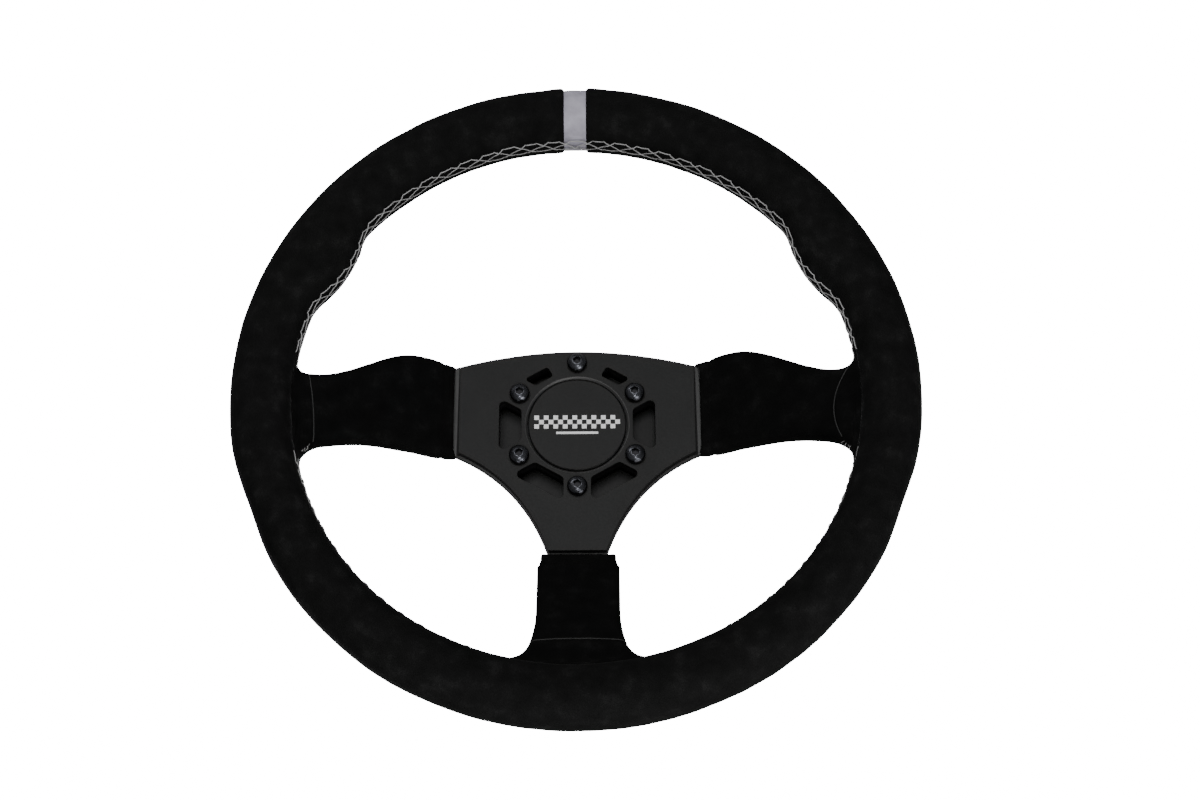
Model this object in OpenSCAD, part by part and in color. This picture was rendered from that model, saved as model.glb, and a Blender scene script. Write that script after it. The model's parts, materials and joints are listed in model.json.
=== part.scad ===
// Dished three-spoke racing steering wheel with the wheel half of a ball-lock quick release.
// The wheel lies face up: +Z points at the driver, +Y at twelve o'clock, and z = 0 is the
// mouth of the quick release, where the column stub goes in. Millimetres.

/* [Rim] */
// Outside diameter of the wheel
rim_d = 350; // [346:1:354]
// Width of the rim's section, seen from the front
rim_w = 31; // [30:0.5:32]
// Depth of the rim's section, front to back
rim_depth = 36; // [35:0.5:37]
// Height of the rim's mid-plane over the front of the faceplate
dish = 41.7; // [40:0.1:43]
// How far each thumb grip swells inwards
swell = 7; // [5:0.5:8]
// Width of the centre stripe at twelve o'clock
stripe_w = 12; // [10:0.5:16]
// Thickness of the suede
suede_t = 1.2; // [1:0.1:1.4]
// Number of stitches in a full turn of the rim
stitches = 78; // [72:2:84]

/* [Hub] */
// Diameter of the six-screw circle
screw_pcd = 70; // [70:1:70]
// Thickness of the faceplate
faceplate_t = 3.5; // [3:0.1:4]
// Thickness of the spoke plate
spoke_plate_t = 4; // [3.6:0.1:4.4]
// Diameter of the centre cap
cap_d = 51.8; // [51:0.1:52]
// Diameter of the hub flange
flange_d = 88; // [87:1:92]

/* [Quick release] */
// Diameter of the bore that guides the column stub
bore_d = 28; // [28:1:28]
// Length of the barrel from its mouth to the hub flange
barrel_h = 42; // [42:0.5:44]
// Diameter of a lock ball
ball_d = 7; // [7:0.5:7]
// Number of lock balls
balls = 6; // [6:1:6]
// Pull of the release collar
collar_pull = 7; // [5:0.5:7]
// Outside diameter of the collar's pull lip
lip_d = 62; // [60:0.5:64]
// Number of internal splines
splines = 24; // [18:2:26]

/* [Hidden] */
$fn = 96;
far = 300;                    // longer than anything it cuts
eps = 0.01;

// heights
flange_t = 8;
flange_z = barrel_h;
spoke_z = flange_z + flange_t;
face_z = spoke_z + spoke_plate_t;
front_z = face_z + faceplate_t;
rim_z = front_z + dish;

// rim section: two circles and the square between them
section_r = rim_w / 2;
section_half = (rim_depth - rim_w) / 2;
rim_r = rim_d / 2 - section_r;
foam_gap = 0.1;
stripe_sink = 0.4;

// thumb grips: short lengths of the rim section bent the other way
swell_from_top = 60;
swell_r = 45;
swell_half = 32;
swell_ease = 0.5;
swell_centre = rim_r - swell + swell_r;

// spokes
spoke_end_z = rim_z - 10;     // mid-height of a spoke where it enters the rim
bend_r = 30;
side_bend = 72;
bottom_bend = 80;
rim_bend = 140;
arm_end = rim_r + 6;
arm_inset = 5;
pad_half = 4.8;
wrap_half = pad_half + suede_t;
side_start = 64.8;
bottom_start = 71.4;
rim_clear = 0.15;
skin_gap = 0.1;               // between the layers of a spoke
pad_step = 2;                 // how far a pad's edges are stepped in to round them

// faceplate outline
face_half = 62;
face_peak = 42;
face_shoulder = 33;
face_waist = -15.5;
face_foot = -70;
foot_half = 15;
waist_pull = [28.5, -31.25];  // point that draws the concave sides inwards

// how far the spoke plate's border stands out past the faceplate
border_side = 2.6;
border_top = 1.3;
border_waist = 0.2;
border_foot = 1.2;

// slots between the screws
slot_in = 29.3;
slot_out = 41;
slot_gap = 7.2;
slot_round = 2.6;
small_in = 30.6;
small_out = 36.6;
small_gap = 8.6;
small_end = 3;
small_round = 1.4;
pocket_depth = 4;

// screws
screw_r = screw_pcd / 2;
screw_angles = [30, 90, 150, 210, 270, 330];
thread_r = 3;
clear_r = 3.3;
head_r = 5.25;
head_h = 5.3;
head_edge = 2.1;              // height of the head's straight side, under its dome
dome_h = head_h - head_edge;
dome_r = (head_r * head_r + dome_h * dome_h) / (2 * dome_h);
screw_length = 13.5;
hex_af = 4;
hex_depth = 2.8;

// cap
cap_r = cap_d / 2;
cap_t = 2.2;
cap_gap = 0.3;
seat_r = cap_r + cap_gap;
seat_floor = front_z - cap_t - cap_gap;
skirt_r = 24.1;
skirt_hole_r = 24.4;
centre_hole_r = 25.2;
seat_chamfer = 1.1;
o_ring_r = 0.9;
o_ring_z = spoke_z + 2.2;

// barrel and its bore
bore_r = bore_d / 2;
barrel_r = 18.5;
pilot_end = 10;
relief_r = bore_r + 0.4;
insert_z = 18.5;
insert_h = 16;
insert_r = 16.5;
socket_cap_z = 43;
socket_cap_t = 3;
barrel_lip_r = 26;
barrel_lip_t = 4;
barrel_lip_z = spoke_z - barrel_lip_t;
barrel_screw_r = 21.6;
mouth_chamfer = 1;

// lock balls: the collar's taper carries them outwards as it slides
ball_r = ball_d / 2;
ball_z = 14.2;
ball_reach = 1.7;             // how far a locked ball stands into the bore
ball_centre_r = bore_r - ball_reach + ball_r;
ball_out = 2;
pocket_r = ball_r + 0.1;
taper = ball_out / 7;
taper_gap = 0.05;
taper_r = ball_centre_r + (ball_r + taper_gap) * sqrt(1 + taper * taper);

// collar
collar_clear = 0.15;
collar_bore_r = barrel_r + collar_clear;
nose_h = 4.6;
nose_r = 24;
collar_z = nose_h + 0.1;
collar_top = flange_z - collar_pull - 0.6;
collar_r = 27.5;
lip_h = 6;
lip_r = lip_d / 2;
lip_round = 1.5;
flutes = 20;
spring_floor = 26;
spring_bore_r = 24.6;
grip_z = [15.2, 20.4];
grip_r = 1.5;
grip_centre_r = collar_r - 0.3;

// collar spring
seat_t = 1;
wire_r = 0.75;
spring_mean_r = 21.6;
spring_turns = 4;
spring_low = spring_floor + wire_r + 0.02;
spring_high = flange_z - seat_t - wire_r - 0.02;
spring_steps = 96;

function smooth(t) = t <= 0 ? 0 : t >= 1 ? 1 : t * t * (3 - 2 * t);
function reversed(list) = [for (i = [len(list) - 1 : -1 : 0]) list[i]];
function polar(r, a) = [r * cos(a), r * sin(a)];
function bezier(a, b, c, t) = (1 - t) * (1 - t) * a + 2 * t * (1 - t) * b + t * t * c;

// ---------- rim ----------

module stadium(r, half) {
    translate([0, half]) circle(r = r);
    translate([0, -half]) circle(r = r);
    square([2 * r, 2 * half], center = true);
}

module thumb_swell(side, inset) {
    rotate([0, 0, 90 - side * swell_from_top])
        translate([swell_centre, 0, 0])
            rotate([0, 0, 180 - swell_half])
                rotate_extrude(angle = 2 * swell_half)
                    translate([swell_r, 0])
                        stadium(section_r - swell_ease - inset, section_half - swell_ease);
}

module rim_body(inset) {
    translate([0, 0, rim_z]) {
        rotate_extrude() translate([rim_r, 0]) stadium(section_r - inset, section_half);
        for (side = [-1, 1]) thumb_swell(side, inset);
    }
}

module top_slab(w) {
    translate([-w / 2, 0, rim_z - rim_depth]) cube([w, rim_d, 2 * rim_depth]);
}

ring_t = 5;
ring_in = rim_r - 8;
ring_out = rim_r + 6.5;
ring_z = spoke_end_z + spoke_plate_t / 2;
rivet_r = 2.4;
rivet_head_r = 4.2;
rivet_head_t = 2;
rivet_spread = 9;
side_arm_y = -4;

module ring_bar() {
    translate([0, 0, ring_z]) difference() {
        cylinder(r = ring_out, h = ring_t);
        translate([0, 0, -eps]) cylinder(r = ring_in, h = ring_t + 2 * eps);
    }
}

// puts its children at the six rivets, two to each spoke
module at_rivets() {
    for (s = [-1, 1]) {
        for (side = [-1, 1])
            translate([side * (rim_r - 1), side_arm_y + s * rivet_spread, 0]) children();
        translate([s * rivet_spread, -(rim_r - 1), 0]) children();
    }
}

module rivet() {
    body_z = ring_z - spoke_plate_t;
    translate([0, 0, body_z - rivet_head_t])
        cylinder(r = rivet_r, h = spoke_plate_t + ring_t + 2 * rivet_head_t, $fn = 48);
    translate([0, 0, body_z - rivet_head_t]) cylinder(r = rivet_head_r, h = rivet_head_t, $fn = 48);
    translate([0, 0, ring_z + ring_t]) cylinder(r = rivet_head_r, h = rivet_head_t, $fn = 48);
}

module rim_ring() {
    color("dimgray") difference() {
        ring_bar();
        at_rivets() cylinder(r = rivet_r, h = far, $fn = 48);
    }
}

module spoke_rivets() {
    color("silver") at_rivets() rivet();
}

module rim_foam() {
    color("#202020") difference() {
        rim_body(suede_t + foam_gap);
        ring_bar();
        spoke_arms();
        at_rivets() rivet();
    }
}

module rim_wrap() {
    color("#0d0d0f") difference() {
        rim_body(0);
        rim_body(suede_t);
        top_slab(stripe_w);
        side_passage(1);
        side_passage(-1);
        bottom_passage();
    }
}

module centre_stripe() {
    color("#9a98a6") intersection() {
        difference() {
            rim_body(stripe_sink);
            rim_body(suede_t);
        }
        top_slab(stripe_w - 0.3);
    }
}

// inner edge of the rim, seen from the front, at angle a
function swell_edge(a) =
    let (off = swell_centre * sin(a), reach = swell_r + section_r - swell_ease)
    abs(off) < reach && cos(a) > 0
        ? swell_centre * cos(a) - sqrt(reach * reach - off * off)
        : rim_r;
function inner_edge(a) =
    min(rim_r - section_r, swell_edge(a - 90 + swell_from_top), swell_edge(a - 90 - swell_from_top));

seam_thread_r = 0.45;
stitch_rise = 3;
stitch_clear = 0.2;
bar_share = 0.49;
side_skip_high = 9;
side_skip_low = 13;
bottom_skip = 15;
stitch_step = 360 / stitches;

function at_side_spoke(a) = a > -side_skip_low && a < side_skip_high;
function stitched(a) =
    !at_side_spoke(a) && !at_side_spoke(a - 360) && !at_side_spoke(180 - a) && abs(a - 270) > bottom_skip;
function thread_point(a, z) =
    let (r = inner_edge(a) - seam_thread_r - stitch_clear) [r * cos(a), r * sin(a), rim_z + z];

module rod(a, b, r) {
    d = b - a;
    length = norm(d);
    translate(a) rotate([0, acos(d[2] / length), atan2(d[1], d[0])]) cylinder(r = r, h = length, $fn = 16);
}

// one stitch at angle a: a bar on each edge of the seam, then the thread crossing to the next bars
module stitch(a) {
    half_bar = stitch_step * bar_share / 2;
    gap_start = a + half_bar + stitch_step * 0.1;
    gap_end = a + stitch_step - half_bar - stitch_step * 0.1;
    for (z = [-stitch_rise, stitch_rise])
        rod(thread_point(a - half_bar, z), thread_point(a + half_bar, z), seam_thread_r);
    rod(thread_point(gap_start, 1 - stitch_rise), thread_point(gap_end, stitch_rise - 1), seam_thread_r);
}

module rim_stitching() {
    color("#c4c4c8") for (i = [0 : stitches - 1]) if (stitched(i * stitch_step)) stitch(i * stitch_step);
}

// ---------- spokes ----------

// mid-line of a spoke from the hub to the rim, moved h to its front side:
// flat, an upward bend, a slope, a bend back, flat
function spoke_line(corner, h) =
    let (
        low = face_z - spoke_plate_t / 2,
        slope = atan2(spoke_end_z - low, rim_bend - corner),
        cut = bend_r * tan(slope / 2),
        steps = 6
    )
    concat(
        [[0, low + h]],
        [for (i = [0 : steps])
            [corner - cut, low + bend_r] + polar(bend_r - h, -90 + slope * i / steps)],
        [for (i = [0 : steps])
            [rim_bend + cut, spoke_end_z - bend_r] + polar(bend_r + h, 90 + slope * (steps - i) / steps)],
        [[arm_end + 1, spoke_end_z + h]]
    );

module spoke_band(corner, h) {
    rotate([90, 0, 0]) translate([0, 0, -far / 2]) linear_extrude(far)
        polygon(concat(spoke_line(corner, h), reversed(spoke_line(corner, -h))));
}

side_high = 38.7;
side_drop = 22.8;
side_low = -15.2;
side_flare = 10;
bottom_wide = 21.1;
bottom_flare = 7;

// distance of a spoke's edges from its centre line: each narrows a little to the hub and flares to the rim
function flared(d, from, to) = pow(min(max(d - from, 0) / (to - from), 1), 2);
function narrowed(d, from, to) = 1 - smooth((d - from) / (to - from));
function side_top(d) = side_high - 3.5 * narrowed(d, 62, 78) - side_drop * smooth((d - 83) / 54);
function side_bottom(d) = side_low - narrowed(d, 66, 90) - side_flare * flared(d, 96, rim_bend);
function bottom_half(d) = bottom_wide - 2.2 * narrowed(d, 68, 81) + bottom_flare * flared(d, 108, rim_bend);

function side_plan(from, to, inset) =
    let (stations = [for (i = [0 : 30]) from + (to - from) * i / 30])
    concat([for (d = stations) [d, side_bottom(d) + inset]],
           reversed([for (d = stations) [d, side_top(d) - inset]]));
function bottom_plan(from, to, inset) =
    let (stations = [for (i = [0 : 24]) from + (to - from) * i / 24])
    concat([for (d = stations) [d, inset - bottom_half(d)]],
           reversed([for (d = stations) [d, bottom_half(d) - inset]]));

module side_spoke(side, from, to, inset, h) {
    mirror([side < 0 ? 1 : 0, 0, 0]) intersection() {
        linear_extrude(far) polygon(side_plan(from, to, inset));
        spoke_band(side_bend, h);
    }
}

module bottom_spoke(from, to, inset, h) {
    rotate([0, 0, -90]) intersection() {
        linear_extrude(far) polygon(bottom_plan(from, to, inset));
        spoke_band(bottom_bend, h);
    }
}

module spoke_arms() {
    intersection() {
        union() {
            for (side = [-1, 1]) side_spoke(side, 30, arm_end, arm_inset, spoke_plate_t / 2);
            bottom_spoke(30, arm_end, arm_inset, spoke_plate_t / 2);
        }
        cylinder(r = arm_end, h = far);
    }
}

module side_passage(side) {
    side_spoke(side, rim_bend - 5, arm_end, arm_inset - 0.3, spoke_plate_t / 2 + 0.3);
}

module bottom_passage() {
    bottom_spoke(rim_bend - 5, arm_end, arm_inset - 0.3, spoke_plate_t / 2 + 0.3);
}

// a foam pad's outside, less its stepped edges; grown is how much larger the skin's inside is
module side_core(side, from, to, grown) {
    side_spoke(side, from, to, suede_t - grown, pad_half - pad_step);
    side_spoke(side, from, to, suede_t + pad_step - grown, pad_half);
}

module bottom_core(from, to, grown) {
    bottom_spoke(from, to, suede_t - grown, pad_half - pad_step);
    bottom_spoke(from, to, suede_t + pad_step - grown, pad_half);
}

module side_pad(side) {
    color("#202020") difference() {
        side_core(side, side_start + 1, rim_r, 0);
        side_spoke(side, side_start - 1, rim_r + 1, arm_inset - skin_gap, spoke_plate_t / 2);
        rim_body(-rim_clear);
    }
}

module side_wrap(side) {
    color("#0d0d0f") difference() {
        side_spoke(side, side_start, rim_r, 0, wrap_half);
        side_core(side, side_start - 1, rim_r + 1, skin_gap);
        rim_body(-rim_clear);
    }
}

module spoke_pad_left() { side_pad(-1); }
module spoke_pad_right() { side_pad(1); }
module spoke_wrap_left() { side_wrap(-1); }
module spoke_wrap_right() { side_wrap(1); }

module spoke_pad_bottom() {
    color("#202020") difference() {
        bottom_core(bottom_start + 1, rim_r, 0);
        bottom_spoke(bottom_start - 1, rim_r + 1, arm_inset - skin_gap, spoke_plate_t / 2);
        rim_body(-rim_clear);
    }
}

module spoke_wrap_bottom() {
    color("#0d0d0f") difference() {
        bottom_spoke(bottom_start, rim_r, 0, wrap_half);
        bottom_core(bottom_start - 1, rim_r + 1, skin_gap);
        rim_body(-rim_clear);
    }
}

// ---------- hub ----------

// faceplate outline: a convex arc on top, straight ends, concave sides down to a short foot
function hub_outline(side_m, top_m, waist_m, foot_m) =
    let (
        half = face_half + side_m,
        shoulder = face_shoulder + top_m,
        rise = face_peak - face_shoulder,
        arc_r = (half * half + rise * rise) / (2 * rise),
        spread = asin(half / arc_r),
        waist = [half, face_waist - waist_m],
        foot = [foot_half + waist_m, face_foot - foot_m],
        pull = waist_pull - [waist_m, waist_m] * 0.7,
        right = [for (i = [0 : 20]) bezier(waist, pull + [waist_m, 0] * 1.4, foot, i / 20)]
    )
    concat(
        [for (i = [0 : 24])
            [0, face_peak + top_m - arc_r] + polar(arc_r, 90 + spread * (1 - i / 12))],
        right,
        reversed([for (p = right) [-p[0], p[1]]])
    );

// direction of the outward side of the edge from a to b, with the points running anticlockwise
function facing(a, b) = atan2(b[1] - a[1], b[0] - a[0]) - 90;

// convex polygon grown by r with round corners; points run anticlockwise
module rounded(points, r) {
    n = len(points);
    steps = 10;
    polygon([for (i = [0 : n - 1])
        let (
            from = facing(points[(i + n - 1) % n], points[i]),
            turn = (facing(points[i], points[(i + 1) % n]) - from + 720) % 360
        )
        for (k = [0 : steps]) points[i] + polar(r, from + turn * k / steps)]);
}

// y of a slot's slanted end, parallel to the ray through the next screw
function slot_end(x, gap) = tan(30) * x - gap / cos(30);

module big_slot() {
    low = slot_in + slot_round;
    high = slot_out - slot_round;
    gap = slot_gap + slot_round;
    rounded([
        [low, -slot_end(low, gap)], [high, -slot_end(high, gap)],
        [high, slot_end(high, gap)], [low, slot_end(low, gap)]
    ], slot_round);
}

module small_slot() {
    low = small_in + small_round;
    high = small_out - small_round;
    gap = small_gap + small_round;
    rounded([
        [low, -slot_end(low, gap)], [high, -slot_end(high, gap)],
        [high, small_end - small_round], [low, small_end - small_round]
    ], small_round);
}

module slots(z, h) {
    translate([0, 0, z]) linear_extrude(h) {
        for (a = [0, 180, 240, 300]) rotate(a) big_slot();
        rotate(60) small_slot();
        mirror([1, 0]) rotate(60) small_slot();
    }
}

module at_screws() {
    for (a = screw_angles) rotate([0, 0, a]) translate([screw_r, 0, 0]) children();
}

module screw_holes(r) {
    at_screws() cylinder(r = r, h = far, $fn = 48);
}

module faceplate() {
    color("#3a3a3c") difference() {
        translate([0, 0, face_z]) linear_extrude(faceplate_t) polygon(hub_outline(0, 0, 0, 0));
        slots(face_z - 1, faceplate_t + 2);
        screw_holes(clear_r);
        cylinder(r = skirt_hole_r, h = far);
        translate([0, 0, seat_floor]) cylinder(r = seat_r, h = far);
        translate([0, 0, front_z - seat_chamfer])
            cylinder(r1 = seat_r, r2 = seat_r + 2 * seat_chamfer, h = 2 * seat_chamfer);
    }
}

module centre_cap() {
    bevel = 0.6;
    color("#3a3a3c") rotate_extrude() difference() {
        polygon([
            [0, seat_floor + 0.1], [0, front_z - 0.1],
            [cap_r - bevel, front_z - 0.1], [cap_r, front_z - 0.1 - bevel], [cap_r, seat_floor + 0.1],
            [skirt_r, seat_floor + 0.1], [skirt_r, spoke_z + 0.6], [skirt_r - 3, spoke_z + 0.6],
            [skirt_r - 3, seat_floor + 0.1]
        ]);
        translate([skirt_r - 0.7, o_ring_z - 1]) square([2, 2]);
    }
}

module cap_o_ring() {
    color("#151515") translate([0, 0, o_ring_z]) rotate_extrude()
        translate([centre_hole_r - o_ring_r, 0]) circle(r = o_ring_r, $fn = 32);
}

module domed_screw() {
    difference() {
        union() {
            intersection() {
                cylinder(r = head_r, h = head_h);
                translate([0, 0, head_h - dome_r]) sphere(r = dome_r);
            }
            translate([0, 0, -screw_length]) cylinder(r = thread_r - 0.02, h = screw_length + head_edge);
        }
        translate([0, 0, head_h - hex_depth]) cylinder(d = hex_af / cos(30), h = hex_depth + 1, $fn = 6);
    }
}

module hub_screws() {
    color("#26262a") translate([0, 0, front_z]) at_screws() domed_screw($fn = 48);
}

module spoke_plate() {
    color("#6a6a6e") difference() {
        union() {
            translate([0, 0, spoke_z]) linear_extrude(spoke_plate_t) polygon(hub_outline(border_side, border_top, border_waist, border_foot));
            spoke_arms();
        }
        slots(spoke_z - 1, spoke_plate_t + 2);
        screw_holes(clear_r);
        cylinder(r = centre_hole_r, h = far);
        at_rivets() cylinder(r = rivet_r, h = far, $fn = 48);
    }
}

// ---------- quick release ----------

module at_barrel_screws() {
    for (i = [0 : 5]) rotate([0, 0, 60 * i]) translate([barrel_screw_r, 0, 0]) children();
}

module hub_flange() {
    edge = 1;
    color("#2c2c30") difference() {
        translate([0, 0, flange_z]) {
            cylinder(r1 = flange_d / 2 - edge, r2 = flange_d / 2, h = edge);
            translate([0, 0, edge]) cylinder(d = flange_d, h = flange_t - edge);
        }
        cylinder(r = barrel_r, h = far);
        translate([0, 0, barrel_lip_z]) cylinder(r = barrel_lip_r, h = far);
        slots(spoke_z - pocket_depth, pocket_depth + 1);
        screw_holes(thread_r);
        at_barrel_screws() cylinder(r = 2, h = far, $fn = 48);
    }
}

module lock_barrel() {
    color("#8c8c90") difference() {
        union() {
            cylinder(r = barrel_r, h = spoke_z);
            translate([0, 0, barrel_lip_z]) cylinder(r = barrel_lip_r, h = barrel_lip_t);
        }
        translate([0, 0, -1]) cylinder(r = bore_r, h = far);
        translate([0, 0, -eps]) cylinder(r1 = bore_r + mouth_chamfer, r2 = bore_r, h = mouth_chamfer);
        translate([0, 0, pilot_end]) cylinder(r = relief_r, h = far);
        translate([0, 0, insert_z]) cylinder(r = insert_r, h = far);
        translate([0, 0, socket_cap_z]) cylinder(r = insert_r + 1.5, h = far);
        for (i = [1 : balls]) at_ball(i) ball_pocket();
        at_dowels() dowel();
        at_barrel_screws() {
            cylinder(r = 2.2, h = far, $fn = 48);
            translate([0, 0, spoke_z - 2.2]) cylinder(r = 3.6 - eps, h = 3, $fn = 48);
        }
    }
}

module barrel_screws() {
    color("#303034") at_barrel_screws() difference() {
        union() {
            translate([0, 0, flange_z + 0.4]) cylinder(r = 1.98, h = flange_t - 1, $fn = 48);
            translate([0, 0, spoke_z - 2.2]) cylinder(r = 3.4, h = 2, $fn = 48);
        }
        translate([0, 0, spoke_z - 1.4]) cylinder(r = 1.25 / cos(30), h = 2, $fn = 6);
    }
}

module at_ball(i) {
    rotate([0, 0, 60 * i - 30]) translate([ball_centre_r, 0, ball_z]) children();
}

module ball_pocket() {
    sphere(r = pocket_r);
    rotate([0, 90, 0]) cylinder(r = pocket_r, h = 10);
}

module lock_ball(i) {
    color("#d0d0d4") at_ball(i) sphere(r = ball_r);
}

dowel_r = 1.5;
dowel_h = 10;
module at_dowels() {
    for (s = [-1, 1]) translate([s * insert_r, 0, insert_z + insert_h - dowel_h]) children();
}

module dowel() {
    cylinder(r = dowel_r, h = dowel_h, $fn = 48);
}

module spline_dowels() {
    color("silver") at_dowels() dowel();
}

module spline_insert() {
    groove_w = PI * bore_r / splines * 0.95;
    color("#9a9a9e") difference() {
        translate([0, 0, insert_z]) cylinder(r = insert_r, h = insert_h);
        cylinder(r = bore_r - 1.2, h = far);
        for (i = [0 : splines - 1])
            rotate([0, 0, 360 * i / splines])
                translate([0, -groove_w / 2, 0]) cube([bore_r - 0.1, groove_w, far]);
        at_dowels() dowel();
    }
}

module socket_buffer() {
    buffer_z = insert_z + insert_h;
    color("#a03020") difference() {
        translate([0, 0, buffer_z]) cylinder(r = insert_r - 0.1, h = socket_cap_z - buffer_z);
        cylinder(r = bore_r - 5, h = far);
    }
}

module socket_cap() {
    color("#8c8c90") translate([0, 0, socket_cap_z]) cylinder(r = insert_r + 1.5, h = socket_cap_t);
}

module spring_seat() {
    color("silver") translate([0, 0, flange_z - seat_t]) difference() {
        cylinder(r = spring_bore_r - 0.4, h = seat_t);
        translate([0, 0, -1]) cylinder(r = barrel_r + 0.1, h = seat_t + 2);
    }
}

// centre of the spring's wire at step i, with its first and last half turn lying flat
function spring_centre(i) =
    let (turn = spring_turns * i / spring_steps, rise = smooth((turn - 0.4) / (spring_turns - 0.8)))
    concat(polar(spring_mean_r, 360 * turn), [spring_low + (spring_high - spring_low) * rise]);

module collar_spring() {
    sides = 8;
    rings = [for (i = [0 : spring_steps])
        let (c = spring_centre(i), a = 360 * spring_turns * i / spring_steps)
        [for (k = [0 : sides - 1])
            c + wire_r * [cos(45 * k) * cos(a), cos(45 * k) * sin(a), sin(45 * k)]]];
    points = [for (ring = rings, p = ring) p];
    last = spring_steps * sides;
    faces = concat(
        [[for (k = [0 : sides - 1]) k]],
        [for (i = [0 : spring_steps - 1], k = [0 : sides - 1])
            [i * sides + k, (i + 1) * sides + k, (i + 1) * sides + (k + 1) % sides, i * sides + (k + 1) % sides]],
        [[for (k = [sides - 1 : -1 : 0]) last + k]]
    );
    color("#b8b8bc") polyhedron(points = points, faces = faces, convexity = 6);
}

module release_collar() {
    bore_start = ball_z + (taper_r - collar_bore_r) / taper;
    mouth_r = taper_r + taper * (ball_z - collar_z);
    color("#1f1f23") difference() {
        rotate_extrude() {
            polygon([
                [mouth_r, collar_z], [lip_r - lip_round, collar_z], [lip_r, collar_z + lip_round],
                [lip_r, collar_z + lip_h - lip_round], [lip_r - lip_round, collar_z + lip_h],
                [collar_r, collar_z + lip_h + 1.5], [collar_r, collar_top - 1], [collar_r - 1, collar_top],
                [spring_bore_r, collar_top], [spring_bore_r, spring_floor],
                [collar_bore_r, spring_floor], [collar_bore_r, bore_start]
            ]);
        }
        for (z = grip_z) translate([0, 0, z]) rotate_extrude()
            translate([grip_centre_r, 0]) circle(r = grip_r, $fn = 32);
        for (i = [0 : flutes - 1]) rotate([0, 0, 360 * i / flutes])
            translate([lip_r + 1.1, 0, collar_z - 1]) cylinder(r = 2.4, h = lip_h + 2, $fn = 32);
    }
}

module collar_grip_rings() {
    color("#101012") for (z = grip_z) translate([0, 0, z]) rotate_extrude()
        translate([grip_centre_r, 0]) circle(r = grip_r - 0.02, $fn = 32);
}

module nose_ring() {
    notch = 3;
    edge = 0.8;
    color("#55555a") difference() {
        rotate_extrude() polygon([
            [barrel_r, 0], [nose_r - edge, 0], [nose_r, edge], [nose_r, nose_h], [barrel_r, nose_h]
        ]);
        for (a = [45 : 90 : 315]) rotate([0, 0, a])
            translate([barrel_r + 2.5, -notch / 2, -1]) cube([far, notch, notch]);
    }
}

faceplate();
centre_cap();
cap_o_ring();
hub_screws();
spoke_plate();
rim_ring();
spoke_rivets();
rim_foam();
rim_wrap();
centre_stripe();
rim_stitching();
spoke_pad_left();
spoke_pad_right();
spoke_pad_bottom();
spoke_wrap_left();
spoke_wrap_right();
spoke_wrap_bottom();
hub_flange();
lock_barrel();
barrel_screws();
spline_insert();
spline_dowels();
socket_buffer();
socket_cap();
spring_seat();
collar_spring();
release_collar();
collar_grip_rings();
nose_ring();
lock_ball(1);  // lock_ball_1
lock_ball(2);  // lock_ball_2
lock_ball(3);  // lock_ball_3
lock_ball(4);  // lock_ball_4
lock_ball(5);  // lock_ball_5
lock_ball(6);  // lock_ball_6
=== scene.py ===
"""Looks of the quick release steering wheel: suede skins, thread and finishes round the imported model.

Lengths are in millimetres until a mesh is made. Angles are in degrees, anticlockwise from three o'clock
as the driver sees the wheel, so the stripe is at 90.
"""
import json
import math

import bmesh
import bpy
import numpy as np
from mathutils import Matrix, Vector, noise

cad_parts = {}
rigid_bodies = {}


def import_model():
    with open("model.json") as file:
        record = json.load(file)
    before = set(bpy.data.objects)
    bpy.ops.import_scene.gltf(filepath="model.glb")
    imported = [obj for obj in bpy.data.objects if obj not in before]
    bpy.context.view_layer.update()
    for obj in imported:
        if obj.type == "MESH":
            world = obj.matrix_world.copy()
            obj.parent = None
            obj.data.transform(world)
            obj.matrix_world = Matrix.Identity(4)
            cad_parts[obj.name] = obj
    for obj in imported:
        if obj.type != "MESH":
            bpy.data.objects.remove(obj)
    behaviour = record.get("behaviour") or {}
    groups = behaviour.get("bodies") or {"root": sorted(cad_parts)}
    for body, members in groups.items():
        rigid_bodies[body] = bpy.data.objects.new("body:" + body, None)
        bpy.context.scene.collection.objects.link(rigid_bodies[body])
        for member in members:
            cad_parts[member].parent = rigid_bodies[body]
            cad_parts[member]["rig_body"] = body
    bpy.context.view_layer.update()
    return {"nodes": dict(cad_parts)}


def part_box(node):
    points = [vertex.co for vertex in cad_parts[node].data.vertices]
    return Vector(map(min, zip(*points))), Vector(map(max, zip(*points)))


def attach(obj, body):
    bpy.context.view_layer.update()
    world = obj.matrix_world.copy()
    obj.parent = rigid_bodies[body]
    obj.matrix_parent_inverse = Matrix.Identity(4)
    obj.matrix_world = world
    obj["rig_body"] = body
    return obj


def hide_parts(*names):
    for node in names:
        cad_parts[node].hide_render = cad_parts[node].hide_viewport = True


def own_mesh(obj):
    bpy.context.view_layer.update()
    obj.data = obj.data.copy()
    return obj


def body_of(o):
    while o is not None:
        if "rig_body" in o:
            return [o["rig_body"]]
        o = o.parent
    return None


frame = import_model()

MM = 0.001


def extent(node, axis):
    """Lowest and highest value of a CAD node along axis 0, 1 or 2."""
    low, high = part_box(node)
    return low[axis] / MM, high[axis] / MM


# ---------- sizes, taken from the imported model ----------

RIM_LOW, RIM_HIGH = extent("rim_wrap", 2)
RIM_Z = (RIM_LOW + RIM_HIGH) / 2
RIM_OUT = extent("rim_wrap", 0)[1]
FRONT_Z = extent("faceplate", 2)[1]
PLATE_LOW = extent("spoke_plate", 2)[0]
CAP_TOP = extent("centre_cap", 2)[1]
CAP_R = extent("centre_cap", 0)[1]
CHAMFER_R = CAP_R + 1.5

# the faceplate's sides, where shade is painted on the spoke plate beside them: half its width there, how much
# they lean, and where they start
SHADE_LINE_X, SHADE_LINE_TAPER, SHADE_LINE_LOW = 62.4, 0.014, -17.0

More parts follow.
